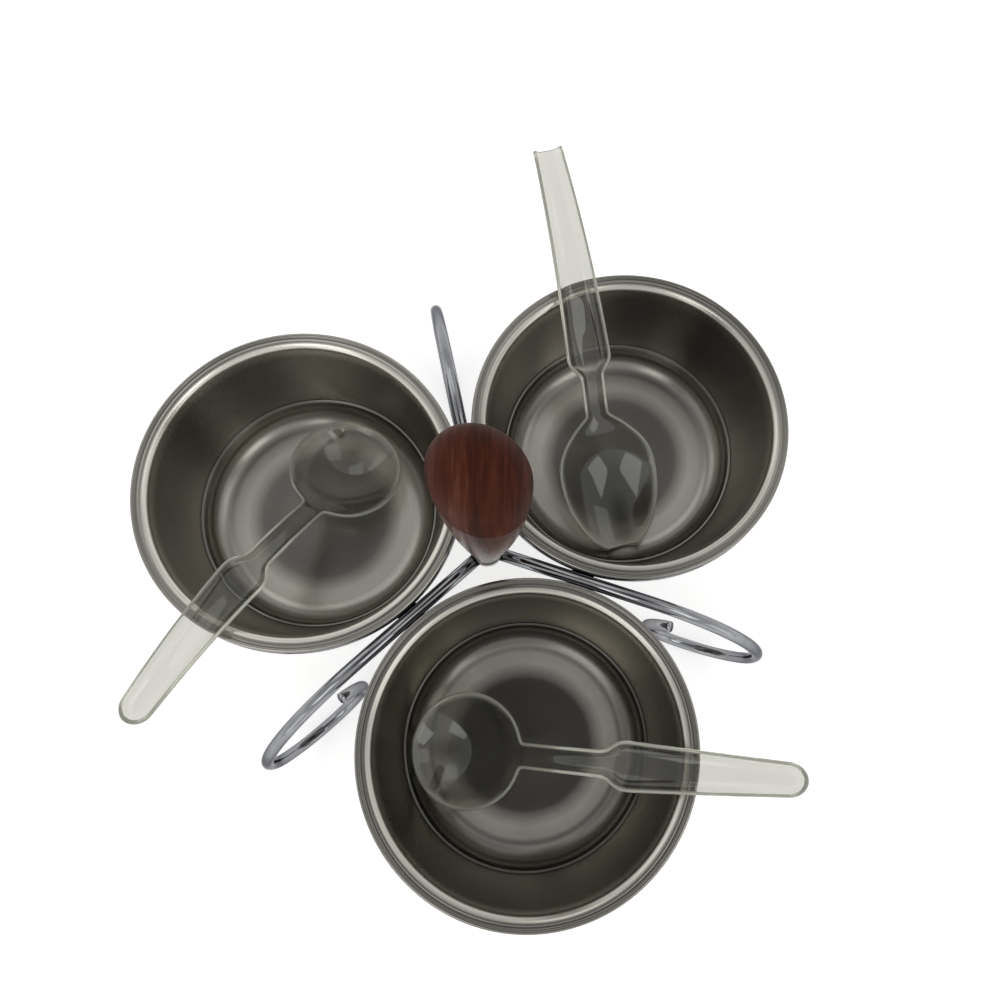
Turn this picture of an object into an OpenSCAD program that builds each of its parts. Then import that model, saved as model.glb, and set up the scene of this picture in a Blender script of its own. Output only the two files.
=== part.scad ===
// Condiment caddy: three loose steel bowls in a wire stand with scroll feet, a drop-shaped wooden
// handle on a stem, and a clear plastic spoon in each bowl.
// Millimetres, +Z up, origin on the table below the middle of the stand.

/* [Bowls] */
// Diameter over the rolled edge of a bowl
bowl_d = 100; // [92:1:112]
// Height of a bowl, from the underside of its base to the top of its rolled edge
bowl_h = 42; // [37:1:48]
// Thickness of the bowl's steel sheet
bowl_wall = 0.7; // [0.5:0.05:0.9]
// Width of the lip, from the mouth to the outside of the rolled edge
lip_w = 5; // [4.8:0.1:6]
// Radius of the rolled edge
bead_r = 0.75; // [0.6:0.05:0.9]
// Place round the rolled edge, in degrees from the outward side, where the lip joins it
bead_join = 150; // [140:5:160]
// Radius of the shoulder where the lip turns down into the wall
shoulder_r = 2.6; // [2:0.1:2.8]
// How much the wall draws in from the mouth to the step above the base
wall_taper = 5.5; // [4:0.5:7]
// Height of the step above the inside of the base
step_h = 9; // [8.6:0.2:11]
// Width of the step
step_w = 0.8; // [0.6:0.1:1.2]
// Radius of the corner between the base and the wall, on the inside
base_r = 8; // [6:0.5:8.4]
// Width of the flat ring on which a bowl stands
stand_w = 7; // [5:0.5:10]
// Rise of the dished middle of the base
base_dome = 0.6; // [0.2:0.1:1]

/* [Stand] */
// Diameter of the wire
wire_d = 4; // [3.5:0.1:4.5]
// Play between a bowl's wall and its ring
ring_play = 0.5; // [0.3:0.1:0.8]
// Gap between the rolled edge of a bowl and the ring that carries it
rest_gap = 0.3; // [0.2:0.05:0.4]
// Distance from the middle of the stand at which an arm starts to bend down
arm_reach = 51; // [46:0.5:58]
// Bending radius of the wide upper bend of a scroll, at the middle of the wire
crown_r = 47; // [44:0.5:52]
// Straight stretch of wire at the outermost place, between the upper and the lower bend
side_l = 1; // [0.5:0.5:4]
// Bending radius of the lower bend of a scroll, at the middle of the wire
scroll_r = 19; // [17:0.5:22]
// Straight stretch of wire on the table, between the lower bend and the inner turn
foot_l = 2; // [1:0.5:5]
// Bending radius of the inner turn of a scroll, at the middle of the wire
curl_r = 17.5; // [12:0.5:18]
// How far the inner turn goes round
curl_angle = 140; // [120:5:200]
// Gap at the welds, between wires that are joined
weld_gap = 0.1; // [0.05:0.05:0.2]
// Length of the weld run between a ring and an arm
weld_l = 7; // [5:0.5:10]
// Radius of that weld run
weld_r = 0.65; // [0.5:0.05:0.8]

/* [Hub and stem] */
// Diameter of the stem that carries the handle
stem_d = 5; // [4:0.5:6]
// Diameter of the weld collar at the hub
hub_d = 10; // [9:0.5:12]
// How far the weld collar stands above and below the arms
hub_over = 0.6; // [0.4:0.1:1]
// Radius of the collar's edges
hub_edge = 1.4; // [0.8:0.1:1.8]
// Thickness of the washer below the handle
washer_t = 1; // [0.8:0.1:1.5]
// Radial play of the washer on the stem
washer_play = 0.1; // [0.05:0.05:0.2]
// Gap between faces that are drawn tight on the stem
seat_gap = 0.05; // [0.02:0.01:0.1]

/* [Handle] */
// Length of the handle
handle_l = 93; // [86:1:100]
// Greatest width of the handle, across its broad side
handle_w = 24.3; // [21:0.1:24.6]
// Greatest thickness of the handle, across its narrow side
handle_t = 20.8; // [18:0.1:22]
// Direction of the broad side, in degrees from +X
handle_turn = 128; // [90:1:150]
// Diameter of the handle's round foot, and of the washer below it
handle_foot_d = 9.4; // [9:0.2:11]
// Height of the widest place, as measured from the foot
handle_wide_z = 82; // [74:1:84]
// Depth of the hole for the stem
stem_hole = 46; // [30:1:60]
// Radial clearance of the stem in the handle
stem_play = 0.05; // [0.03:0.01:0.1]
// Clearance between the end of the stem and the bottom of its hole
stem_end_gap = 1; // [0.5:0.5:2]

/* [Round spoons] */
// Diameter of the spoon's bowl
round_d = 36.8; // [34:0.2:40]
// Depth of the spoon's bowl
round_depth = 8; // [6:0.5:9]
// Distance from the middle of the spoon's bowl to the end of its handle
round_l = 106; // [100:1:112]
// Distance from the middle of the spoon's bowl to the shoulder of its handle
round_shoulder = 53.5; // [48:0.5:58]

/* [Spade spoon] */
// Width of the spoon's bowl
spade_w = 33.2; // [30:0.2:36]
// Depth of the spoon's bowl
spade_depth = 6; // [5:0.5:7]
// Width of the straight edge at its tip
spade_edge = 10.8; // [8:0.2:12]
// Distance from the widest place of the spoon's bowl to its tip
spade_tip = 25.5; // [22:0.5:27]
// Distance from the widest place of the spoon's bowl to its neck
spade_neck = 22; // [20:0.5:26]
// Distance from the widest place of the spoon's bowl to the end of its handle
spade_l = 106; // [100:1:112]
// Distance from the widest place of the spoon's bowl to the shoulder of its handle
spade_shoulder = 40; // [37:0.5:48]

/* [Handles of the spoons] */
// Thickness of the plastic
spoon_t = 1.2; // [1:0.1:1.5]
// Width of the narrow neck of a spoon
neck_w = 6.2; // [5:0.2:7]
// Width of the shoulder
shoulder_w = 13.4; // [12:0.2:15]
// Length over which the neck widens into the shoulder
shoulder_run = 6; // [4:0.5:9]
// Width at the end
end_w = 7.6; // [6.4:0.2:10]
// Angle at which the handle leaves the spoon's bowl, above the plane of its rim
rise_angle = 24; // [12:1:26]
// Length over which that angle builds up
rise_run = 8; // [5:0.5:12]
// Radius of the arch of the handle
arch_r = 125; // [115:5:300]
// Height of the side walls
flange_h = 3; // [2:0.2:3.6]
// How far the floor of the handle lies below the rim of the spoon's bowl
web_drop = 2; // [1:0.2:2.4]

/* [Places of the spoons] */
// Gap between a spoon and the bowl that it rests in
spoon_gap = 0.4; // [0.3:0.05:0.6]
// Direction of the left spoon's handle, in degrees from +X
left_spoon_angle = -132.3; // [-150:0.1:-110]
// Sideways offset of the left spoon from the middle of its bowl
left_spoon_aside = 0.2; // [-4:0.1:4]
// Distance between the left spoon's tip and the wall of its bowl
left_spoon_tip = 4.6; // [3:0.2:7]
// Direction of the right spoon's handle
right_spoon_angle = 91.8; // [70:0.1:110]
// Sideways offset of the right spoon
right_spoon_aside = 5.9; // [0:0.1:8]
// Distance between the right spoon's tip and the wall
right_spoon_tip = 6.2; // [5:0.2:9]
// Direction of the front spoon's handle
front_spoon_angle = -16.1; // [-30:0.1:0]
// Sideways offset of the front spoon
front_spoon_aside = -3.1; // [-5:0.1:0]
// Distance between the front spoon's tip and the wall
front_spoon_tip = 1.8; // [1.6:0.2:5]

/* [Hidden] */

// Directions, in degrees from +X, of the bowls and of the arms between them
bowl_count = 3;
arm_step_angle = 360 / bowl_count;
half_step_angle = arm_step_angle / 2;
right_at = 30;
left_at = right_at + arm_step_angle;
front_at = right_at - arm_step_angle;
arm_at = [left_at - half_step_angle, right_at - half_step_angle, left_at + half_step_angle];

// The wall of a bowl passes inside its ring, and the ring lies against the sides of two arms
mouth_r = bowl_d / 2 - lip_w;
ring_r = mouth_r + bowl_wall + ring_play + wire_d / 2;
ring_step = ring_r + wire_d + weld_gap;
bowl_at = ring_step / sin(half_step_angle);
weld_at = bowl_at * cos(half_step_angle);

// Heights: the scrolls stand on the table, and the bowls hang from their rolled edges
wire_r = wire_d / 2;
side_z = wire_r + scroll_r + side_l;
arm_z = side_z + crown_r;
bead_x = bowl_d / 2 - bead_r;
bead_z = arm_z + sqrt(pow(wire_r + bead_r + rest_gap, 2) - pow(bead_x - ring_r, 2));
bowl_z = bead_z + bead_r - bowl_h;
hub_h = wire_r + hub_over;
washer_z = arm_z + hub_h + seat_gap;
handle_z = washer_z + washer_t + seat_gap;

// Facets on the large rounds and on the wire, and how far a cut reaches past a face
fine = 96;
coarse = 32;
cut = 1;

// Points on an arc about c, from angle a to angle b, in n steps
function arc(c, r, a, b, n) =
    [for (i = [0 : n]) let (t = a + (b - a) * i / n) [c[0] + r * cos(t), c[1] + r * sin(t)]];

// Smooth step from 0 at a to 1 at b
function ease(x, a, b) =
    let (t = min(1, max(0, (x - a) / (b - a)))) t * t * (3 - 2 * t);

// Radii of a bowl's inside: below the step, on the flat of the base, and at the dished middle
step_x = mouth_r - wall_taper;
wall_x = step_x - step_w;
flat_x = wall_x - base_r;
dome_x = flat_x - stand_w;
step_z = bowl_wall + step_h;
step_soft = step_w / 3;
draft_angle = 10;

// Rise of the dished middle at radius r
function dome(r) = r < dome_x ? base_dome * (1 + cos(180 * r / dome_x)) / 2 : 0;

// A bowl's section from the axis to the lip, t outside its inside face
function bowl_face(t) = concat(
    [for (i = [0 : 6]) let (r = dome_x * i / 6) [r, bowl_wall - t + dome(r)]],
    arc([flat_x, bowl_wall + base_r], base_r + t, -90, -draft_angle, 10),
    [[wall_x + t, step_z - t - step_soft],
     [wall_x + step_soft + t, step_z - t],
     [step_x - step_soft + t, step_z - t],
     [step_x + t, step_z - t + step_soft]],
    arc([mouth_r + shoulder_r, bowl_h - shoulder_r], shoulder_r - t, 180, 90, 10));

// The lip dips into a groove before it joins the rolled edge
module bowl(angle) {
    inside = bowl_face(0);
    outside = bowl_face(bowl_wall);
    back = [for (i = [len(outside) - 1 : -1 : 0]) outside[i]];
    join_x = bead_x + bead_r * cos(bead_join);
    join_z = bowl_h - bead_r + bead_r * sin(bead_join);
    color("silver")
        rotate([0, 0, angle])
            translate([bowl_at, 0, bowl_z])
                union() {
                    rotate_extrude($fn = fine)
                        polygon(concat(inside,
                            [[join_x, join_z], [bead_x, join_z],
                             [bead_x, join_z - bowl_wall], [join_x, join_z - bowl_wall]],
                            back));
                    rotate_extrude($fn = fine)
                        translate([bead_x, bowl_h - bead_r])
                            circle(r = bead_r, $fn = coarse);
                }
}

// One arm: a straight wire from the hub, a wide bend out and down, a closer one to the table and
// an inner turn that ends in the air
module arm(angle) {
    low_x = arm_reach + crown_r - scroll_r;
    color("gainsboro")
        rotate([0, 0, angle])
            union() {
                translate([arm_reach, 0, arm_z])
                    wire(arm_reach - stem_d / 2 - weld_gap);
                translate([arm_reach, 0, arm_z])
                    mirror([0, 0, 1])
                        turn(crown_r, 90);
                translate([arm_reach + crown_r, 0, side_z - side_l])
                    cylinder(d = wire_d, h = side_l, $fn = coarse);
                translate([low_x, 0, wire_r])
                    turn(scroll_r, 90);
                translate([low_x, 0, wire_r])
                    wire(foot_l);
                translate([low_x - foot_l, 0, wire_r])
                    turn(curl_r, -curl_angle);
            }
}

// A straight wire from x = 0 inwards
module wire(l) {
    rotate([0, -90, 0])
        cylinder(d = wire_d, h = l, $fn = coarse);
}

// A bend that starts at the origin and goes up through an angle, outwards where it is positive
module turn(r, angle) {
    translate([0, 0, r])
        rotate([90, 0, 0])
            rotate([0, 0, -90])
                rotate_extrude(angle = angle, $fn = fine)
                    translate([r, 0])
                        circle(d = wire_d, $fn = coarse);
}

module ring(angle) {
    color("gainsboro")
        rotate([0, 0, angle])
            translate([bowl_at, 0, arm_z])
                rotate_extrude($fn = fine)
                    translate([ring_r, 0])
                        circle(d = wire_d, $fn = coarse);
}

// Weld runs lie in the hollow below each arm, between it and the ring beside it
module ring_welds() {
    side = wire_r + weld_gap / 2;
    drop = sqrt(pow(wire_r + weld_r + weld_gap / 2, 2) - pow(side, 2));
    color("gray")
        for (a = arm_at, s = [-1, 1])
            rotate([0, 0, a])
                translate([weld_at - weld_l / 2, s * side, arm_z - drop])
                    rotate([0, 90, 0])
                        cylinder(r = weld_r, h = weld_l, $fn = coarse);
}

// Collar of weld metal round the stem, in which the three arms end
module hub_weld() {
    hole_x = stem_d / 2 + seat_gap;
    edge_x = hub_d / 2 - hub_edge;
    edge_z = hub_h - hub_edge;
    color("gray")
        translate([0, 0, arm_z])
            difference() {
                rotate_extrude($fn = fine)
                    polygon(concat([[hole_x, -hub_h]],
                        arc([edge_x, -edge_z], hub_edge, -90, 0, 6),
                        arc([edge_x, edge_z], hub_edge, 0, 90, 6),
                        [[hole_x, hub_h]]));
                for (a = arm_at)
                    rotate([0, 0, a])
                        rotate([0, 90, 0])
                            cylinder(d = wire_d + 2 * seat_gap, h = hub_d, $fn = coarse);
            }
}

module stem() {
    foot_z = arm_z - hub_h;
    top_z = handle_z + stem_hole - stem_end_gap;
    color("silver")
        translate([0, 0, foot_z])
            cylinder(d = stem_d, h = top_z - foot_z, $fn = fine);
}

module handle_washer() {
    color("silver")
        translate([0, 0, washer_z])
            difference() {
                cylinder(d = handle_foot_d, h = washer_t, $fn = fine);
                translate([0, 0, -cut])
                    cylinder(d = stem_d + 2 * washer_play, h = washer_t + 2 * cut, $fn = fine);
            }
}

// Half of the handle's size at height z above its foot, where d is the greatest size: a drop,
// round at its foot, oval and widest near its top
function handle_half(z, d) =
    z < handle_wide_z
        ? (handle_foot_d + (d - handle_foot_d) * sin(90 * z / handle_wide_z)) / 2
        : d / 2 * sqrt(max(0, 1 - pow((z - handle_wide_z) / (handle_l - handle_wide_z), 2)));

module handle() {
    around_count = 64;
    crown_l = handle_l - handle_wide_z;
    levels = concat([for (i = [0 : 16]) handle_wide_z * i / 16],
                    [for (i = [1 : 9]) handle_wide_z + crown_l * sin(9 * i)]);
    last = len(levels) - 1;
    points = [for (z = levels, i = [0 : around_count - 1])
                let (t = 360 * i / around_count)
                [handle_half(z, handle_w) * cos(t), handle_half(z, handle_t) * sin(t), z]];
    sides = [for (k = [0 : last - 1], i = [0 : around_count - 1])
                let (a = k * around_count + i, b = k * around_count + (i + 1) % around_count)
                each [[a, a + around_count, b], [b, a + around_count, b + around_count]]];
    top = [for (i = [0 : around_count - 1])
              let (k = last * around_count) [k + i, len(points), k + (i + 1) % around_count]];
    foot = [for (i = [0 : around_count - 1]) i];
    color("saddlebrown")
        translate([0, 0, handle_z])
            difference() {
                rotate([0, 0, handle_turn])
                    polyhedron(points = concat(points, [[0, 0, handle_l]]),
                               faces = concat(sides, top, [foot]));
                translate([0, 0, -cut])
                    cylinder(d = stem_d + 2 * stem_play, h = stem_hole + cut, $fn = fine);
            }
}

// Half the width of a spoon's bowl at x: its widest place is at 0 and its handle at +x
function round_half(x) = sqrt(max(0, pow(round_d / 2, 2) - x * x));
function spade_half(x) =
    spade_w / 2 * (x < 0
        ? sqrt(1 - (1 - pow(spade_edge / spade_w, 2)) * pow(x / spade_tip, 2))
        : 1 - pow(min(1, x / spade_neck), spade_power));
spade_power = 2.4;

// The two kinds of spoon: half-width of the bowl, depth, tip, neck, shoulder, end, round end
nose = 0.1;
round_kind = [function (x) round_half(x), round_depth,
              round_d / 2 - nose, round_d / 2, round_shoulder, round_l, true];
spade_kind = [function (x) spade_half(x), spade_depth,
              spade_tip, spade_neck, spade_shoulder, spade_l, false];

// Half the width of a spoon at x: its bowl, a narrow neck, a shoulder and a long taper
function half_w(kind, x) =
    let (bowl_half = kind[0], shoulder = kind[4], end = kind[5], end_r = end_w / 2,
         widen = ease(x, shoulder - shoulder_run, shoulder),
         taper = max(0, x - shoulder) / (end - shoulder),
         stalk = (neck_w + (shoulder_w - neck_w) * widen - (shoulder_w - end_w) * taper) / 2,
         past = kind[6] ? max(0, x - end + end_r) / end_r : 0)
    norm4(bowl_half(x), stalk * handle_share(kind, x)) * sqrt(max(0, 1 - past * past));

// Two widths joined with a soft corner
function norm4(a, b) = pow(pow(a, 4) + pow(b, 4), 1 / 4);

// 0 in a spoon's bowl, 1 on its handle
neck_start_ratio = 0.6;
function handle_share(kind, x) = ease(x, kind[3] * neck_start_ratio, kind[3]);

// Height of the handle above the plane of the bowl's rim at x: it leaves the bowl at an angle
// and then arches over
rise_start_ratio = 0.8;
function rise(kind, x) =
    let (s = max(0, x - kind[3] * rise_start_ratio))
    tan(rise_angle) * (s < rise_run ? s * s / rise_run / 2 : s - rise_run / 2)
    - s * s / arch_r / 2;

// Height of the upper face at x, a share v of the half-width from the middle
function face_z(kind, x, v) =
    let (bowl_half = kind[0], h = handle_share(kind, x),
         d = kind[1] * pow(bowl_half(x) / bowl_half(0), dish_power))
    rise(kind, x) - d - web_drop * h + (d + flange_h * h) * pow(abs(v), 2 + 2 * h);
dish_power = 1.7;

// Height of the under face, which meets the upper one in a thin rim
function under_z(kind, x, v) = face_z(kind, x, v) - spoon_t * (1 - pow(v, 6) / 2);

// One cross-section of a spoon: the under face from side to side, then the upper face back
across_count = 5;
function section(kind, x) =
    let (w = half_w(kind, x), rim = min(spoon_t, w / 3))
    concat([for (j = [-across_count : across_count]) let (v = j / across_count)
                [x, w * v, under_z(kind, x, v)]],
           [for (j = [across_count : -1 : -across_count]) let (v = j / across_count)
                [x, (w - rim * pow(abs(v), 3)) * v, face_z(kind, x, v)]]);

// Where the cross-sections are, closer together at the tip and at a round end
function stations(kind) =
    let (tip = kind[2], neck = kind[3], shoulder = kind[4], end = kind[5] - nose, r = end_w / 2)
    concat([for (i = [0 : 13]) -tip * cos(90 * i / 13)],
           [for (i = [1 : 9]) neck * i / 9],
           [for (i = [1 : 6]) neck + (shoulder - neck) * i / 6],
           [for (i = [1 : 8]) shoulder + (end - r - shoulder) * i / 8],
           [for (i = [1 : 4]) end - r + r * sin(90 * i / 4)]);

// Height of the inside of a bowl at radius r, above the underside of its base
function floor_z(r) =
    let (out = min(base_r, max(0, r - flat_x)))
    bowl_wall + dome(r) + base_r - sqrt(pow(base_r, 2) - pow(out, 2));

// How a spoon lies, [place along its own direction, height of its bowl's middle, lean]: its tip
// is set from the wall, its underside is let down on the floor, its handle on the lip's shoulder
function lie(kind, aside, tip_gap, lean = 20, n = 8) =
    let (along = kind[2] * cos(lean) - sqrt(pow(wall_x - tip_gap, 2) - pow(aside, 2)),
         up = spoon_gap + max([for (x = stations(kind), j = [-across_count : across_count])
             let (v = j / across_count, z = under_z(kind, x, v),
                  r = norm([along + x * cos(lean) - z * sin(lean), aside + half_w(kind, x) * v]))
             (r < wall_x ? floor_z(r) : 0) - x * sin(lean) - z * cos(lean)]),
         lip = [sqrt(pow(mouth_r + shoulder_r, 2) - pow(aside, 2)), bowl_h - shoulder_r],
         clear = min([for (x = [kind[3] : kind[5]])
             let (z = under_z(kind, x, 0),
                  p = [along + x * cos(lean) - z * sin(lean), up + x * sin(lean) + z * cos(lean)],
                  slope = lean + atan(under_z(kind, x + 0.5, 0) - under_z(kind, x - 0.5, 0)),
                  above = (p - lip) * [-sin(slope), cos(slope)])
             if (abs(p[0] - lip[0]) < 2 * shoulder_r) above < 0 ? above : norm(p - lip)]),
         next = lean + asin((shoulder_r + spoon_gap - clear) / norm(lip - [along, up])))
    n == 0 ? [along, up, lean] : lie(kind, aside, tip_gap, next, n - 1);

// A spoon in the bowl at angle at, with its handle towards angle to
module spoon(kind, at, to, aside, tip_gap) {
    place = lie(kind, aside, tip_gap);
    rows = [for (x = stations(kind)) section(kind, x)];
    n = len(rows[0]);
    last = len(rows) - 1;
    sides = [for (i = [0 : last - 1], j = [0 : n - 1])
                let (a = i * n + j, b = i * n + (j + 1) % n)
                each [[a, a + n, b], [b, a + n, b + n]]];
    caps = [[for (j = [0 : n - 1]) j], [for (j = [n - 1 : -1 : 0]) last * n + j]];
    color("ivory", 0.4)
        translate([bowl_at * cos(at), bowl_at * sin(at), bowl_z])
            rotate([0, 0, to])
                translate([place[0], aside, place[1]])
                    rotate([0, -place[2], 0])
                        polyhedron(points = [for (row = rows) each row],
                                   faces = concat(sides, caps));
}

arm(arm_at[0]);  // arm_back
arm(arm_at[1]);  // arm_right
arm(arm_at[2]);  // arm_left
ring(left_at);  // ring_left
ring(right_at);  // ring_right
ring(front_at);  // ring_front
ring_welds();
hub_weld();
stem();
handle_washer();
handle();
bowl(left_at);  // bowl_left
bowl(right_at);  // bowl_right
bowl(front_at);  // bowl_front
spoon(round_kind, left_at, left_spoon_angle, left_spoon_aside, left_spoon_tip);  // spoon_left
spoon(spade_kind, right_at, right_spoon_angle, right_spoon_aside, right_spoon_tip);  // spoon_right
spoon(round_kind, front_at, front_spoon_angle, front_spoon_aside, front_spoon_tip);  // spoon_front
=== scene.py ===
import bpy, bmesh
from math import sin, cos, tan, pi, radians, sqrt
from mathutils import Vector, Matrix


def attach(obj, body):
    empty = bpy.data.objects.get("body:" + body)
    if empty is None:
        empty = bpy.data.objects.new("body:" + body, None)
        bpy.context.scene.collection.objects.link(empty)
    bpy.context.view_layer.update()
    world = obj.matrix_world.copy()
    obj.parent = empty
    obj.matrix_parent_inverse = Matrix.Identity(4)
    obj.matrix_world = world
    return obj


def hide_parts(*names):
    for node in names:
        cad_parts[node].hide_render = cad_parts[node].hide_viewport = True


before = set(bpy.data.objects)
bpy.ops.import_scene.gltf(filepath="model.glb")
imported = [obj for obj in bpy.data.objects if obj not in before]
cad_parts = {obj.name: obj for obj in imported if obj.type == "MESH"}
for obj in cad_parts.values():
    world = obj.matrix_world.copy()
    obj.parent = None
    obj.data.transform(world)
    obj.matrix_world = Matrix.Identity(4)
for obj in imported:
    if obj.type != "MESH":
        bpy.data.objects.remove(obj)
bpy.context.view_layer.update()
print("frame loaded:", len(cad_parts), "nodes")

mm = 0.001
closeBy = 0.005 * mm    # points nearer than this become one


# meshes

def newObject(name, bm):
    mesh = bpy.data.meshes.new(name)
    bm.to_mesh(mesh)
    bm.free()
    piece = bpy.data.objects.new(name, mesh)
    bpy.context.scene.collection.objects.link(piece)
    for face in mesh.polygons:
        face.use_smooth = True
    return piece


def addLine(bm, points):
    line = [bm.verts.new(p) for p in points]
    for a, b in zip(line, line[1:]):
        bm.edges.new((a, b))
    return line


def addCircle(bm, radius, sides, middle):
    # an upright circle that faces along Y
    verts = bmesh.ops.create_circle(bm, segments=sides, radius=radius * mm,
                                    matrix=Matrix.Rotation(pi / 2, 4, "X"))["verts"]
    bmesh.ops.translate(bm, verts=verts, vec=middle)


def turnRound(bm, centre, steps):
    # what has no faces yet is spun once round the upright line through the centre
    loose = [part for part in bm.verts[:] + bm.edges[:] if part.is_wire]
    bmesh.ops.spin(bm, geom=loose, cent=centre, axis=(0, 0, 1), angle=2 * pi, steps=steps, use_merge=True)
    bmesh.ops.remove_doubles(bm, verts=bm.verts[:], dist=closeBy)
    bmesh.ops.recalc_face_normals(bm, faces=bm.faces[:])


def turnZ(bm, angle):
    bmesh.ops.rotate(bm, verts=bm.verts[:], cent=(0, 0, 0), matrix=Matrix.Rotation(radians(angle), 3, "Z"))


def paint(piece, material):
    piece.data.materials.clear()
    piece.data.materials.append(material)


def dress(piece, material, slot, body, *nodes):
    paint(piece, material)
    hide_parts(*nodes)
    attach(piece, body)


# material nodes

def newMaterial(name):
    mat = bpy.data.materials.new(name)
    mat.use_nodes = True
    return mat, mat.node_tree, mat.node_tree.nodes["Principled BSDF"]


def addNode(tree, kind, **settings):
    made = tree.nodes.new("ShaderNode" + kind)
    for key, value in settings.items():
        setattr(made, key, value)
    return made


def placed(tree, origin=(0, 0, 0), turn=0, scale=(1, 1, 1)):
    # object coordinates seen from the origin and turned about Z, then stretched
    turned = Matrix.Rotation(radians(turn), 3, "Z")
    move = addNode(tree, "Mapping")
    move.inputs["Rotation"].default_value = (0, 0, radians(turn))
    move.inputs["Location"].default_value = -(turned @ Vector(origin))
    tree.links.new(addNode(tree, "TexCoord").outputs["Object"], move.inputs["Vector"])
    stretch = addNode(tree, "Mapping")
    stretch.inputs["Scale"].default_value = scale
    tree.links.new(move.outputs[0], stretch.inputs["Vector"])
    return stretch.outputs[0]


def noise(tree, source, scale, detail=3.0, roughness=0.5, dimensions="3D"):
    made = addNode(tree, "TexNoise", noise_dimensions=dimensions)
    made.inputs["Scale"].default_value = scale
    made.inputs["Detail"].default_value = detail
    made.inputs["Roughness"].default_value = roughness
    tree.links.new(source, made.inputs["W" if dimensions == "1D" else "Vector"])
    return made.outputs["Fac"]


def toRange(tree, source, low, high, toLow, toHigh):
    made = addNode(tree, "MapRange", clamp=True)
    for name, value in (("From Min", low), ("From Max", high), ("To Min", toLow), ("To Max", toHigh)):
        made.inputs[name].default_value = value
    tree.links.new(source, made.inputs["Value"])
    return made.outputs[0]


def combine(tree, operation, first, second):
    made = addNode(tree, "Math", operation=operation)
    tree.links.new(first, made.inputs[0])
    tree.links.new(second, made.inputs[1])
    return made.outputs[0]


def ramp(tree, source, stops):
    made = addNode(tree, "ValToRGB")
    steps = made.color_ramp.elements
    for i, (place, color) in enumerate(stops):
        step = steps[i] if i < 2 else steps.new(place)    # a new ramp has two steps
        step.position = place
        step.color = (*color, 1)
    tree.links.new(source, made.inputs["Fac"])
    return made.outputs["Color"]


def bump(tree, height, strength, depth, shader, below=None):
    # the depth is in mm
    made = addNode(tree, "Bump")
    made.inputs["Strength"].default_value = strength
    made.inputs["Distance"].default_value = depth * mm
    tree.links.new(height, made.inputs["Height"])
    if below:
        tree.links.new(below, made.inputs["Normal"])
    tree.links.new(made.outputs[0], shader.inputs["Normal"])
    return made.outputs[0]


# stage, in metres and degrees

stage = dict(
    floorSize=3.0, floorColor=(0.8, 0.8, 0.8, 1), backing=0.56,
    # height of a direction, from 0 at the horizon to 1 straight up, and how bright the sky is there
    sky=[(0, 0.95), (0.3, 0.88), (0.5, 0.7), (0.8, 0.68), (0.92, 0.58), (0.975, 0.28), (0.992, 0.08),
         (1, 0.06)],
    lampAim=(0, 0, 0.06), lampDistance=1.3, lampColor=(1.0, 1.0, 0.98),
    # azimuth, elevation, size, brightness
    lamps=[(228, 48, 0.54, 1.45), (308, 48, 0.54, 1.45), (0, 56, 0.5, 0.6), (90, 56, 0.5, 0.7),
           (135, 38, 0.6, 0.6), (315, 14, 0.55, 0.6), (225, 14, 0.55, 0.6)],
)


def makeFloor():
    bm = bmesh.new()
    bmesh.ops.create_grid(bm, x_segments=1, y_segments=1, size=stage["floorSize"])
    floor = newObject("floor", bm)
    mat, tree, shader = newMaterial("paleFloor")
    tree.nodes.remove(shader)
    matte = addNode(tree, "BsdfDiffuse")
    matte.inputs["Color"].default_value = stage["floorColor"]
    # the floor glows for rays that look at it, straight or by way of metal and plastic, and lights nothing
    rays = addNode(tree, "LightPath")
    seen = combine(tree, "MAXIMUM", rays.outputs["Is Camera Ray"], rays.outputs["Is Glossy Ray"])
    seen = combine(tree, "MAXIMUM", seen, rays.outputs["Is Transmission Ray"])
    strength = addNode(tree, "Math", operation="MULTIPLY")
    strength.inputs[1].default_value = stage["backing"]
    tree.links.new(seen, strength.inputs[0])
    glow = addNode(tree, "Emission")
    tree.links.new(strength.outputs[0], glow.inputs["Strength"])
    both = addNode(tree, "AddShader")
    tree.links.new(matte.outputs[0], both.inputs[0])
    tree.links.new(glow.outputs[0], both.inputs[1])
    tree.links.new(both.outputs[0], tree.nodes["Material Output"].inputs["Surface"])
    paint(floor, mat)


def makeSky():
    world = bpy.data.worlds.new("sky")
    bpy.context.scene.world = world
    world.use_nodes = True
    tree = world.node_tree
    direction = addNode(tree, "SeparateXYZ")
    tree.links.new(addNode(tree, "TexCoord").outputs["Generated"], direction.inputs[0])
    greys = [(height, (grey, grey, grey)) for height, grey in stage["sky"]]
    tree.links.new(ramp(tree, direction.outputs["Z"], greys), tree.nodes["Background"].inputs["Color"])


def makeLamps():
    aim = Vector(stage["lampAim"])
    for i, (azimuth, elevation, size, brightness) in enumerate(stage["lamps"]):
        data = bpy.data.lights.new(f"softbox{i}", "AREA")
        data.size = size
        data.energy = pi * size * size * brightness
        data.color = stage["lampColor"]
        a, e = radians(azimuth), radians(elevation)
        outward = Vector((cos(a) * cos(e), sin(a) * cos(e), sin(e)))
        lamp = bpy.data.objects.new(f"softbox{i}", data)
        lamp.location = aim + stage["lampDistance"] * outward
        lamp.rotation_euler = outward.to_track_quat("Z", "Y").to_euler()
        lamp.visible_camera = False
        bpy.context.scene.collection.objects.link(lamp)


# place, film and nearest are in mm, tilt is in degrees
cameraValues = dict(place=(-4.38, -47.42, 329.7), tilt=(11.777, -2.308, -12.271), lens=31.14, film=36,
                    shift=(-0.0403, 0.0273), nearest=10)


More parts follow.
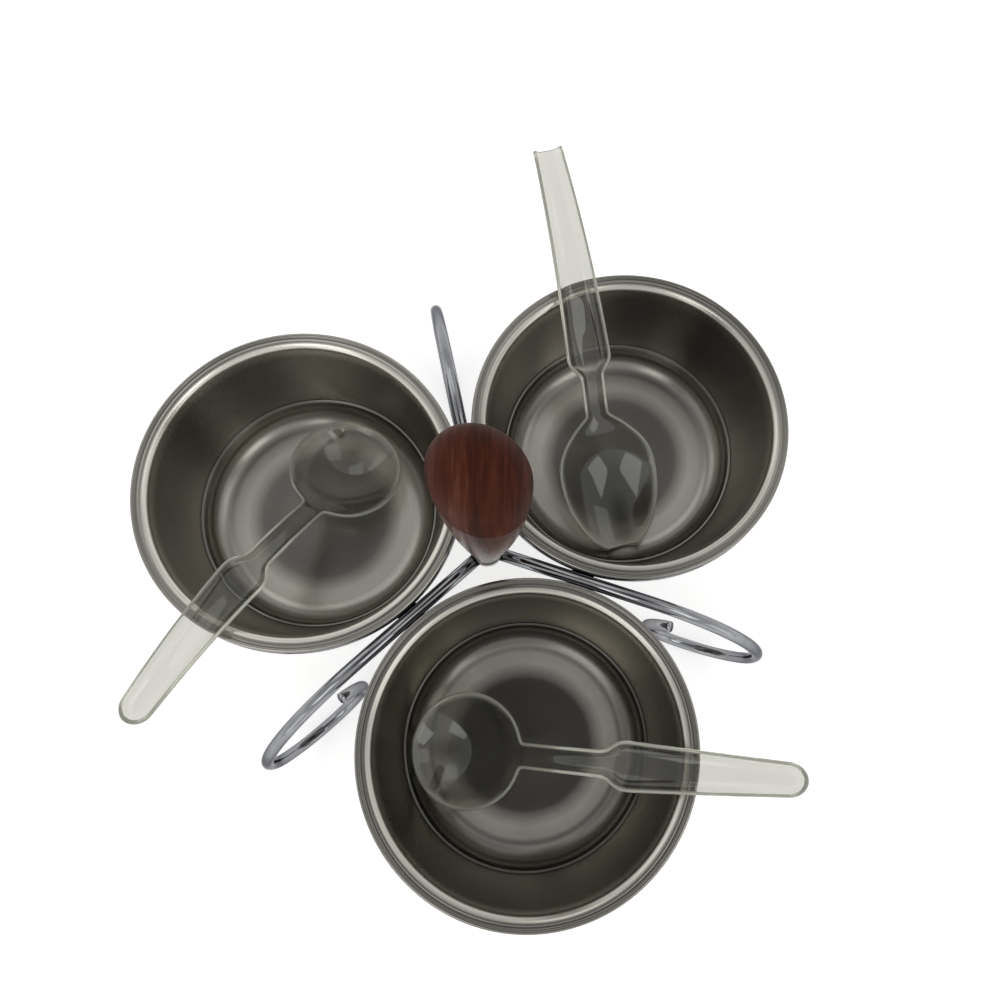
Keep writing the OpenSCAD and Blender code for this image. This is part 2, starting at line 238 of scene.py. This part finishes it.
def makeCamera():
    data = bpy.data.cameras.new("camera")
    data.lens = cameraValues["lens"]
    data.sensor_width = cameraValues["film"]
    data.shift_x, data.shift_y = cameraValues["shift"]
    data.clip_start = cameraValues["nearest"] * mm
    camera = bpy.data.objects.new("camera", data)
    camera.location = Vector(cameraValues["place"]) * mm
    camera.rotation_euler = [radians(a) for a in cameraValues["tilt"]]
    bpy.context.scene.collection.objects.link(camera)
    bpy.context.scene.camera = camera


makeCamera()
makeFloor()
makeSky()
makeLamps()
print("stage ready")


# finishes: patterns are in repeats per metre, depths in mm, From and To are levels of a pattern
# edge is how a metal looks at a grazing angle

chromeFinish = dict(clouded=(0.25, 0.255, 0.268), clear=(0.33, 0.337, 0.35), cloudFrom=0.3, cloudTo=0.6,
                    edge=(0.34, 0.34, 0.36, 1), patch=90, polish=0.05, haze=0.16, hazeFrom=0.4, hazeTo=0.75,
                    ripple=420, rippleStrength=0.06, rippleDepth=0.2)


def makeChrome():
    mat, tree, shader = newMaterial("chromeWire")
    v = chromeFinish
    spot = placed(tree)
    cloud = noise(tree, spot, v["patch"], detail=4)
    color = ramp(tree, cloud, [(v["cloudFrom"], v["clouded"]), (v["cloudTo"], v["clear"])])
    rough = toRange(tree, cloud, v["hazeFrom"], v["hazeTo"], v["polish"], v["haze"])
    tree.links.new(color, shader.inputs["Base Color"])
    tree.links.new(rough, shader.inputs["Roughness"])
    shader.inputs["Metallic"].default_value = 1
    shader.inputs["Specular Tint"].default_value = v["edge"]
    ripples = noise(tree, spot, v["ripple"], detail=2)
    bump(tree, ripples, v["rippleStrength"], v["rippleDepth"], shader)
    return mat


weldFinish = dict(dark=(0.2, 0.19, 0.18), pale=(0.5, 0.5, 0.5), darkTo=0.35, paleFrom=0.65, patch=300,
                  rough=0.32, grain=900, grainStrength=0.5, grainDepth=0.3)


def makeWeld():
    mat, tree, shader = newMaterial("platedWeld")
    v = weldFinish
    spot = placed(tree)
    cloud = noise(tree, spot, v["patch"], detail=4)
    color = ramp(tree, cloud, [(v["darkTo"], v["dark"]), (v["paleFrom"], v["pale"])])
    tree.links.new(color, shader.inputs["Base Color"])
    shader.inputs["Metallic"].default_value = 1
    shader.inputs["Roughness"].default_value = v["rough"]
    bump(tree, noise(tree, spot, v["grain"]), v["grainStrength"], v["grainDepth"], shader)
    return mat


studFinish = dict(dark=(0.36, 0.36, 0.37), pale=(0.52, 0.52, 0.53), darkTo=0.3, paleFrom=0.7, rough=0.24,
                  turning=2600, stretch=(0.02, 0.02, 1), lineStrength=0.25, lineDepth=0.1)


def makeStud():
    mat, tree, shader = newMaterial("steelStud")
    v = studFinish
    lines = noise(tree, placed(tree, scale=v["stretch"]), v["turning"], detail=2)
    color = ramp(tree, lines, [(v["darkTo"], v["dark"]), (v["paleFrom"], v["pale"])])
    tree.links.new(color, shader.inputs["Base Color"])
    shader.inputs["Metallic"].default_value = 1
    shader.inputs["Roughness"].default_value = v["rough"]
    bump(tree, lines, v["lineStrength"], v["lineDepth"], shader)
    return mat


steelFinish = dict(
    # painted reflections and shade over the steel's own tone, from the middle of the floor up to the lip:
    # radius plus height in mm, how bright, and which part; the dark floor disc, the bright ring, the darker
    # corner and step bands and the bright lip band with its dark groove line are painted
    paintedReflectionZones=[(0, 0.15, "disc"), (19, 0.13, "disc"), (22, 0.15, "disc"), (27.5, 0.52, "ring"), (31, 0.5, "ring"),
           (32.6, 0.37, "corner"), (34.8, 0.2, "corner"), (41, 0.38, "wall"), (47.2, 0.34, "wall"),
           (48.4, 0.19, "wall"), (49.4, 0.17, "wall"), (51.5, 0.27, "wall"), (80.5, 0.25, "wall"),
           (84, 0.38, "lip"), (87.5, 0.55, "lip"), (89.2, 0.34, "lip"), (90.4, 0.13, "lip"),
           (91.3, 0.26, "lip")],
    reach=96,
    # the painted reflections and shade are made brighter or darker part by part for each of the three bowls
    shares=dict(left=dict(disc=1.45, ring=1.2, corner=1.2, wall=1.1, lip=1.3),
                right=dict(disc=0.95, ring=0.95, corner=0.95, wall=1.0, lip=1.0),
                front=dict(disc=1.0, ring=1.75, corner=0.8, wall=0.65, lip=1.0)),
    tint=(1.03, 0.99, 0.895), edge=(0.42, 0.42, 0.4, 1),
    smear=42, smearFrom=0.35, smearTo=0.62, smearDark=0.96, smearBright=1.04,
    fine=520, satin=0.25, worn=0.27, wearFrom=0.12, wearTo=0.42,
    dents=30, dentStrength=0.07, dentDepth=0.8, spinLines=1100, lineStrength=0.02, lineDepth=0.06,
    anisotropy=0.35, anisotropyTurn=0.25,
)


# colours along radius plus height for one bowl: the steel's tone with painted reflections and shade
def paintedReflectionColors(side):
    v = steelFinish
    shares = v["shares"][side]
    return [(place / v["reach"], [min(1, bright * shares[part]) * t for t in v["tint"]])
            for place, bright, part in v["paintedReflectionZones"]]


def fromMiddle(tree, spot):
    # radius plus height, which grows all the way from the middle of the floor to the lip
    flat = addNode(tree, "VectorMath", operation="MULTIPLY")
    flat.inputs[1].default_value = (1, 1, 0)
    tree.links.new(spot, flat.inputs[0])
    radius = addNode(tree, "VectorMath", operation="LENGTH")
    tree.links.new(flat.outputs[0], radius.inputs[0])
    split = addNode(tree, "SeparateXYZ")
    tree.links.new(spot, split.inputs[0])
    return combine(tree, "ADD", radius.outputs["Value"], split.outputs["Z"])


def makeSteel(side, centre):
    mat, tree, shader = newMaterial("spunSteelPaintedReflections_" + side)
    v = steelFinish
    spot = placed(tree, origin=centre)
    outward = fromMiddle(tree, spot)
    # painted reflections and shade: the base colour follows radius plus height, dark over the floor disc and
    # the step, bright over the ring and the lip
    paintedReflectionZones = ramp(tree, toRange(tree, outward, 0, v["reach"] * mm, 0, 1), paintedReflectionColors(side))
    smear = noise(tree, spot, v["smear"], detail=5, roughness=0.6)
    smeared = addNode(tree, "VectorMath", operation="SCALE")
    tree.links.new(paintedReflectionZones, smeared.inputs[0])
    tree.links.new(toRange(tree, smear, v["smearFrom"], v["smearTo"], v["smearDark"], v["smearBright"]),
                   smeared.inputs["Scale"])
    tree.links.new(smeared.outputs[0], shader.inputs["Base Color"])
    wear = combine(tree, "MULTIPLY", smear, noise(tree, spot, v["fine"]))
    tree.links.new(toRange(tree, wear, v["wearFrom"], v["wearTo"], v["satin"], v["worn"]),
                   shader.inputs["Roughness"])
    shader.inputs["Metallic"].default_value = 1
    shader.inputs["Specular Tint"].default_value = v["edge"]
    shader.inputs["Anisotropic"].default_value = v["anisotropy"]
    shader.inputs["Anisotropic Rotation"].default_value = v["anisotropyTurn"]
    # the brushed direction runs round the bowl
    around = addNode(tree, "VectorMath", operation="CROSS_PRODUCT")
    around.inputs[1].default_value = (0, 0, 1)
    tree.links.new(spot, around.inputs[0])
    tree.links.new(around.outputs[0], shader.inputs["Tangent"])
    dents = bump(tree, noise(tree, spot, v["dents"], detail=1), v["dentStrength"], v["dentDepth"], shader)
    lines = noise(tree, outward, v["spinLines"], roughness=0.6, dimensions="1D")
    bump(tree, lines, v["lineStrength"], v["lineDepth"], shader, dents)
    return mat


woodFinish = dict(turn=12.3, along=(1, 0.1, 0.05), bands=190, pores=1500, poreShare=0.22,
                  tones=[(0.32, (0.019, 0.0055, 0.0026)), (0.43, (0.044, 0.0106, 0.0048)),
                         (0.54, (0.068, 0.0162, 0.0072)), (0.66, (0.110, 0.0380, 0.0210))],
                  # up to this height over the table, in mm, the cone keeps its lacquer, and the crown is dull
                  coneTop=144.6, coneEdge=2.0, coat=0.6, coatRough=0.24,
                  dull=0.62, satin=0.5, dullTo=0.35, satinFrom=0.65, shine=0.08,
                  poreStrength=0.1, poreDepth=0.1)


def makeWood():
    mat, tree, shader = newMaterial("stainedWood")
    v = woodFinish
    spot = placed(tree, turn=v["turn"], scale=v["along"])
    bands = noise(tree, spot, v["bands"], detail=6, roughness=0.62)
    pores = noise(tree, spot, v["pores"], detail=2)
    mixed = addNode(tree, "Mix", data_type="FLOAT")
    mixed.inputs[0].default_value = v["poreShare"]
    tree.links.new(bands, mixed.inputs[2])
    tree.links.new(pores, mixed.inputs[3])
    split = addNode(tree, "SeparateXYZ")
    tree.links.new(placed(tree), split.inputs[0])
    top = v["coneTop"] * mm
    lacquer = toRange(tree, split.outputs["Z"], top - v["coneEdge"] * mm, top, v["coat"], 0)
    tree.links.new(lacquer, shader.inputs["Coat Weight"])
    tree.links.new(ramp(tree, mixed.outputs[0], v["tones"]), shader.inputs["Base Color"])
    rough = toRange(tree, bands, v["dullTo"], v["satinFrom"], v["dull"], v["satin"])
    tree.links.new(rough, shader.inputs["Roughness"])
    shader.inputs["Specular IOR Level"].default_value = v["shine"]
    shader.inputs["Coat Roughness"].default_value = v["coatRough"]
    bump(tree, pores, v["poreStrength"], v["poreDepth"], shader)
    return mat


# the paler, less clear colour near the edges of the plastic is a painted highlight
plasticFinish = dict(color=(0.60, 0.597, 0.556), rimColor=(0.68, 0.68, 0.58), rimFrom=0.89, clear=0.985,
                     rimClear=0.6, index=1.49, patch=150, rough=0.01, haze=0.05, hazeFrom=0.45, hazeTo=0.8,
                     ripple=70, rippleStrength=0.12, rippleDepth=0.6)


def makePlastic():
    mat, tree, shader = newMaterial("clearPlastic")
    v = plasticFinish
    spot = placed(tree)
    # painted highlight: near the rims the colour turns paler and the plastic less clear
    rim = addNode(tree, "Attribute", attribute_name="rim")
    pale = toRange(tree, rim.outputs["Fac"], v["rimFrom"], 1, 0, 1)
    tree.links.new(ramp(tree, pale, [(0, v["color"]), (1, v["rimColor"])]), shader.inputs["Base Color"])
    tree.links.new(toRange(tree, pale, 0, 1, v["clear"], v["rimClear"]), shader.inputs["Transmission Weight"])
    cloud = noise(tree, spot, v["patch"], detail=4)
    rough = toRange(tree, cloud, v["hazeFrom"], v["hazeTo"], v["rough"], v["haze"])
    tree.links.new(rough, shader.inputs["Roughness"])
    shader.inputs["IOR"].default_value = v["index"]
    ripples = noise(tree, spot, v["ripple"], detail=2)
    bump(tree, ripples, v["rippleStrength"], v["rippleDepth"], shader)
    return mat


chrome = makeChrome()
weld = makeWeld()
stud = makeStud()
wood = makeWood()
plastic = makePlastic()
print("materials ready")


# wire stand: from here on sizes are in mm and angles in degrees

# ringRadius and bowlAt place the rings; start, reach, crown, side, turn, foot and curl follow an arm out,
# down and in again
wire = dict(width=4.0, sides=24, ringSteps=160, bendSteps=80, ringRadius=48.2, bowlAt=60.391, height=69.0,
            start=2.6, reach=51.0, crown=47.0, side=1.0, turn=19.0, foot=2.0, curl=17.5, curlAngle=140)
ringAngles = dict(left=150, right=30, front=-90)
armAngles = dict(back=90, right=-30, left=210)


def overBowl(side, height):
    # a point on the axis of a bowl
    angle = radians(ringAngles[side])
    return Vector((wire["bowlAt"] * cos(angle), wire["bowlAt"] * sin(angle), height)) * mm


def wireRing(side):
    centre = overBowl(side, wire["height"])
    bm = bmesh.new()
    addCircle(bm, wire["width"] / 2, wire["sides"], centre + Vector((wire["ringRadius"] * mm, 0, 0)))
    turnRound(bm, centre, wire["ringSteps"])
    return newObject("ringWire_" + side, bm)


def armWire(side):
    # a round section walks along the wire: straight, upper bend, side, lower bend, foot, inner turn
    bm = bmesh.new()
    half = wire["width"] / 2
    section = bmesh.ops.create_circle(bm, cap_ends=True, segments=wire["sides"], radius=half * mm,
                                      matrix=Matrix.Rotation(pi / 2, 4, "Y"))["verts"]
    bmesh.ops.translate(bm, verts=section, vec=Vector((wire["start"], 0, wire["height"])) * mm)
    end = bm.faces[:]

    def push(along, up):
        made = bmesh.ops.extrude_face_region(bm, geom=end)["geom"]
        verts = [v for v in made if isinstance(v, bmesh.types.BMVert)]
        bmesh.ops.translate(bm, verts=verts, vec=Vector((along, 0, up)) * mm)
        return [f for f in made if isinstance(f, bmesh.types.BMFace)]

    def bend(along, up, angle, steps):
        made = bmesh.ops.spin(bm, geom=end, cent=Vector((along, 0, up)) * mm, axis=(0, 1, 0),
                              angle=radians(angle), steps=steps)
        return [f for f in made["geom_last"] if isinstance(f, bmesh.types.BMFace)]

    out = wire["reach"] + wire["crown"] - wire["turn"]
    end = push(wire["reach"] - wire["start"], 0)
    end = bend(wire["reach"], wire["height"] - wire["crown"], 90, wire["bendSteps"])
    end = push(0, -wire["side"])
    end = bend(out, half + wire["turn"], 90, wire["bendSteps"] // 2)
    end = push(-wire["foot"], 0)
    end = bend(out - wire["foot"], half + wire["curl"], wire["curlAngle"], wire["bendSteps"])
    # each bend leaves the face that it started from inside the wire
    inside = [f for f in bm.faces if len(f.verts) > 4 and all(len(e.link_faces) > 2 for e in f.edges)]
    bmesh.ops.delete(bm, geom=inside, context="FACES_ONLY")
    turnZ(bm, armAngles[side])
    bmesh.ops.recalc_face_normals(bm, faces=bm.faces[:])
    return newObject("armWire_" + side, bm)


for side in ringAngles:
    dress(wireRing(side), chrome, "wire", "stand", "ring_" + side)
for side in armAngles:
    dress(armWire(side), chrome, "wire", "stand", "arm_" + side)
# these four keep their own shape
for name, finish in (("ring_welds", weld), ("hub_weld", weld), ("stem", stud), ("handle_washer", stud)):
    paint(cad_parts[name], finish)
print("stand ready")


# bowls

# outer is the radius over the bead; below the lip the wall tapers to a small step, and a round corner leads
# into the floor, which is flat over standWidth and domed inside; bottom is its height over the table
bowl = dict(outer=50.0, height=42.0, wall=0.7, lip=5.0, bead=0.75, beadJoin=150, beadSides=24,
            shoulder=2.6, shoulderStep=9, taper=5.5, stepHeight=9.0, step=0.8, soft=0.38, softSegments=4,
            baseRound=8.0, baseStep=8, draft=10, standWidth=7.0, dome=0.6, domeSteps=6,
            bottom=30.614, steps=144)


def bowlProfile():
    # inside of the sheet from the axis to the bead, as (radius, height, is a soft corner)
    b = bowl
    mouth = b["outer"] - b["lip"]
    stepX = mouth - b["taper"]
    wallX = stepX - b["step"]
    flatX = wallX - b["baseRound"]
    domeX = flatX - b["standWidth"]
    floor = b["wall"]
    stepZ = floor + b["stepHeight"]
    beadX = b["outer"] - b["bead"]
    join = radians(b["beadJoin"])
    joinX = beadX + b["bead"] * cos(join)
    joinZ = b["height"] - b["bead"] + b["bead"] * sin(join)
    shares = [i / b["domeSteps"] for i in range(b["domeSteps"] + 1)]
    points = [(domeX * s, floor + b["dome"] * (1 + cos(pi * s)) / 2, False) for s in shares]
    points += [(flatX + b["baseRound"] * sin(radians(a)),
                floor + b["baseRound"] * (1 - cos(radians(a))), False)
               for a in range(0, 91 - b["draft"], b["baseStep"])]
    points += [(wallX, stepZ, True), (stepX, stepZ, True)]
    points += [(mouth + b["shoulder"] * (1 - cos(radians(a))),
                b["height"] - b["shoulder"] * (1 - sin(radians(a))), False)
               for a in range(0, 91, b["shoulderStep"])]
    points += [(joinX, joinZ, False), (beadX, joinZ, False)]
    return points


def makeBowl(side):
    centre = overBowl(side, bowl["bottom"])
    profile = bowlProfile()
    bm = bmesh.new()
    line = addLine(bm, [centre + Vector((r, 0, z)) * mm for r, z, soft in profile])
    corners = [vert for vert, (r, z, soft) in zip(line, profile) if soft]
    bmesh.ops.bevel(bm, geom=corners, offset=bowl["soft"] * mm, segments=bowl["softSegments"], profile=0.5,
                    affect="VERTICES", material=-1)
    turnRound(bm, centre, bowl["steps"])
    # the profile is the inside of the sheet, so its faces look up and the thickness goes under them
    middle = min(bm.faces, key=lambda f: (f.calc_center_median() - centre).length)
    if middle.normal.z < 0:
        bmesh.ops.reverse_faces(bm, faces=bm.faces[:])
    bmesh.ops.solidify(bm, geom=bm.faces[:], thickness=bowl["wall"] * mm)
    beadAt = Vector((bowl["outer"] - bowl["bead"], 0, bowl["height"] - bowl["bead"])) * mm
    addCircle(bm, bowl["bead"], bowl["beadSides"], centre + beadAt)
    turnRound(bm, centre, bowl["steps"])
    piece = newObject("bowl_" + side + "_sheet", bm)
    dress(piece, makeSteel(side, centre), "bowl_steel", "bowl_" + side, "bowl_" + side)


for side in ringAngles:
    makeBowl(side)
print("bowls ready")


# handle

# foot is a height over the table and wide a height over the foot; turn is the way the broad side lies
handle = dict(foot=72.7, length=93.0, width=24.3, thickness=20.8, turn=128, footWidth=9.4, footSoft=0.4,
              footSegments=3, wide=82.0, coneSteps=40, crownSteps=16, tipGap=0.001, steps=96)


def handleHalf(z, size):
    # half the width at a height over the foot: a cone that swells to its widest place, then a round crown
    if z < handle["wide"]:
        return (handle["footWidth"] + (size - handle["footWidth"]) * sin(pi / 2 * z / handle["wide"])) / 2
    t = (z - handle["wide"]) / (handle["length"] - handle["wide"])
    return size / 2 * sqrt(max(0, 1 - t * t))


def makeHandle():
    # turned round as wide as its broad side, then flattened across its narrow side
    h = handle
    crown = h["length"] - h["wide"]
    heights = [h["wide"] * i / h["coneSteps"] for i in range(h["coneSteps"] + 1)]
    heights += [h["wide"] + crown * sin(pi / 2 * i / h["crownSteps"]) for i in range(1, h["crownSteps"] + 1)]
    bm = bmesh.new()
    line = addLine(bm, [(0, 0, 0)] + [(handleHalf(z, h["width"]) * mm, 0, z * mm) for z in heights])
    bmesh.ops.bevel(bm, geom=[line[1]], offset=h["footSoft"] * mm, segments=h["footSegments"], profile=0.5,
                    affect="VERTICES", material=-1)
    turnRound(bm, (0, 0, 0), h["steps"])
    underTip = h["length"] - h["tipGap"]    # the tip itself has no width to divide by
    for v in bm.verts:
        z = min(v.co.z / mm, underTip)
        v.co.y *= handleHalf(z, h["thickness"]) / handleHalf(z, h["width"])
    turnZ(bm, h["turn"])
    bmesh.ops.translate(bm, verts=bm.verts[:], vec=(0, 0, h["foot"] * mm))
    dress(newObject("dropHandle", bm), wood, "wood", "stand", "handle")


makeHandle()
print("handle ready")


# spoons: a dish round the origin and a grip of channel section along +X

spoonShape = dict(
    # thickness of the plastic, widths of the grip and length of its shoulder, height of its walls, depth of
    # its floor
    thick=1.2, neck=6.2, shoulder=13.4, shoulderRun=6.0, end=7.6, flange=3.0, drop=2.0,
    # the grip rises out of the dish and arches down again
    rise=24.0, riseStart=0.8, riseRun=8.0, arch=125.0,
    # powers of the curves
    dishPower=1.7, taper=2.4, blend=4, floorCurve=2, gripCurve=2,
    # as shares of neckAt: where the neck starts, where the dish's rim hands over to the grip's, its reach
    neckStart=0.6, rimTo=0.7, rimReach=1.3,
    across=16, rows=dict(tip=24, neck=20, stalk=16, grip=14, end=10), endGap=0.02, smoothing=1,
    round=dict(depth=8.0, half=18.4, tip=18.38, neckAt=18.4, shoulderAt=53.5, length=104.6, roundEnd=True),
    spade=dict(depth=6.0, half=16.6, tip=25.5, neckAt=22.0, shoulderAt=40.0, length=106.0, roundEnd=False,
               edge=10.8),
)
# the way the grip points, where the dish lies from the middle of its bowl, and how steeply the spoon leans
spoonPlaces = dict(
    left=dict(kind="round", to=-132.3, aside=0.2, along=-16.900, up=11.268, lean=19.970),
    right=dict(kind="spade", to=91.8, aside=5.9, along=-8.330, up=12.700, lean=22.081),
    front=dict(kind="round", to=-16.1, aside=-3.1, along=-19.504, up=11.204, lean=19.355),
)


def ease(x, a, b):
    t = min(1, max(0, (x - a) / (b - a)))
    return t * t * (3 - 2 * t)


def bowlHalf(kind, x):
    # half the width of the dish: a circle, or an ellipse cut off at its edge and drawn in to the neck
    k = spoonShape[kind]
    if kind == "round":
        return sqrt(max(0, k["half"] ** 2 - x * x))
    if x < 0:
        return k["half"] * sqrt(1 - (1 - (k["edge"] / k["half"] / 2) ** 2) * (x / k["tip"]) ** 2)
    return k["half"] * (1 - min(1, x / k["neckAt"]) ** spoonShape["taper"])


def pastEnd(kind, x):
    # 0 along the grip, rising to 1 over its round end
    k = spoonShape[kind]
    r = spoonShape["end"] / 2
    return max(0, x - k["length"] + r) / r if k["roundEnd"] else 0


def gripShare(kind, x):
    # 0 in the dish, 1 where the grip begins
    neckAt = spoonShape[kind]["neckAt"]
    return ease(x, neckAt * spoonShape["neckStart"], neckAt)


def outwards(past, share):
    # how near the edge a point is, from how far it is along and across
    return sqrt(past * past + (1 - past * past) * share * share)


def halfWidth(kind, x):
    s, k = spoonShape, spoonShape[kind]
    widen = ease(x, k["shoulderAt"] - s["shoulderRun"], k["shoulderAt"])
    taper = max(0, x - k["shoulderAt"]) / (k["length"] - k["shoulderAt"])
    stalk = (s["neck"] + (s["shoulder"] - s["neck"]) * widen - (s["shoulder"] - s["end"]) * taper) / 2
    past = pastEnd(kind, x)
    both = bowlHalf(kind, x) ** s["blend"] + (stalk * gripShare(kind, x)) ** s["blend"]
    return both ** (1 / s["blend"]) * sqrt(max(0, 1 - past * past))


def gripRise(kind, x):
    s = spoonShape
    past = max(0, x - spoonShape[kind]["neckAt"] * s["riseStart"])
    run = past * past / s["riseRun"] / 2 if past < s["riseRun"] else past - s["riseRun"] / 2
    return tan(radians(s["rise"])) * run - past * past / s["arch"] / 2


def faceHeight(kind, x, across):
    s, k = spoonShape, spoonShape[kind]
    share = gripShare(kind, x)
    depth = k["depth"] * (bowlHalf(kind, x) / k["half"]) ** s["dishPower"]
    curve = s["floorCurve"] + s["gripCurve"] * share
    wall = (depth + s["flange"] * share) * outwards(pastEnd(kind, x), across) ** curve
    return gripRise(kind, x) - depth - s["drop"] * share + wall


def spread(start, end, count):
    return [start + (end - start) * i / count for i in range(1, count + 1)]


def stations(kind):
    # where sections are drawn along the spoon, closer together at its tip, its neck and its end
    k, rows = spoonShape[kind], spoonShape["rows"]
    end = k["length"] - spoonShape["endGap"]
    r = spoonShape["end"] / 2
    xs = [-k["tip"] * cos(pi / 2 * i / rows["tip"]) for i in range(rows["tip"] + 1)]
    xs += spread(0, k["neckAt"], rows["neck"])
    xs += spread(k["neckAt"], k["shoulderAt"], rows["stalk"])
    xs += spread(k["shoulderAt"], end - r, rows["grip"])
    xs += [end - r + r * sin(pi / 2 * i / rows["end"]) for i in range(1, rows["end"] + 1)]
    return xs


def nearRim(kind, x, across):
    # 0 in the middle of the dish or the grip, 1 at its edge
    s, k = spoonShape, spoonShape[kind]
    if x > k["neckAt"] * s["rimTo"]:
        return outwards(pastEnd(kind, x), across)
    reach = k["tip"] if x < 0 else k["neckAt"] * s["rimReach"]
    return outwards(x / reach, across)


def makeSpoon(side):
    place = spoonPlaces[side]
    kind = place["kind"]
    xs = stations(kind)
    last = len(xs) - 1
    bm = bmesh.new()
    bmesh.ops.create_grid(bm, x_segments=last, y_segments=spoonShape["across"], size=1)
    # painted highlight: this nearness to the edge makes the rims paler and less clear
    rim = bm.verts.layers.float.new("rim")    # the plastic is paler near its edges
    for v in bm.verts:
        x = xs[round((v.co.x + 1) / 2 * last)]
        across = v.co.y
        v[rim] = nearRim(kind, x, across)
        v.co = Vector((x, halfWidth(kind, x) * across, faceHeight(kind, x, across))) * mm
    bmesh.ops.recalc_face_normals(bm, faces=bm.faces[:])
    if sum(f.normal.z for f in bm.faces) < 0:
        bmesh.ops.reverse_faces(bm, faces=bm.faces[:])
    bmesh.ops.solidify(bm, geom=bm.faces[:], thickness=spoonShape["thick"] * mm)
    move = (Matrix.Translation(overBowl(side, bowl["bottom"]))
            @ Matrix.Rotation(radians(place["to"]), 4, "Z")
            @ Matrix.Translation(Vector((place["along"], place["aside"], place["up"])) * mm)
            @ Matrix.Rotation(radians(-place["lean"]), 4, "Y"))
    bmesh.ops.transform(bm, verts=bm.verts[:], matrix=move)
    bmesh.ops.recalc_face_normals(bm, faces=bm.faces[:])
    piece = newObject("spoon_" + side + "_moulding", bm)
    smooth = piece.modifiers.new("smooth", "SUBSURF")
    smooth.levels = smooth.render_levels = spoonShape["smoothing"]
    dress(piece, plastic, "clear_plastic", "spoon_" + side, "spoon_" + side)


for side in spoonPlaces:
    makeSpoon(side)
print("spoons ready")

bpy.context.scene.view_settings.view_transform = "Standard"
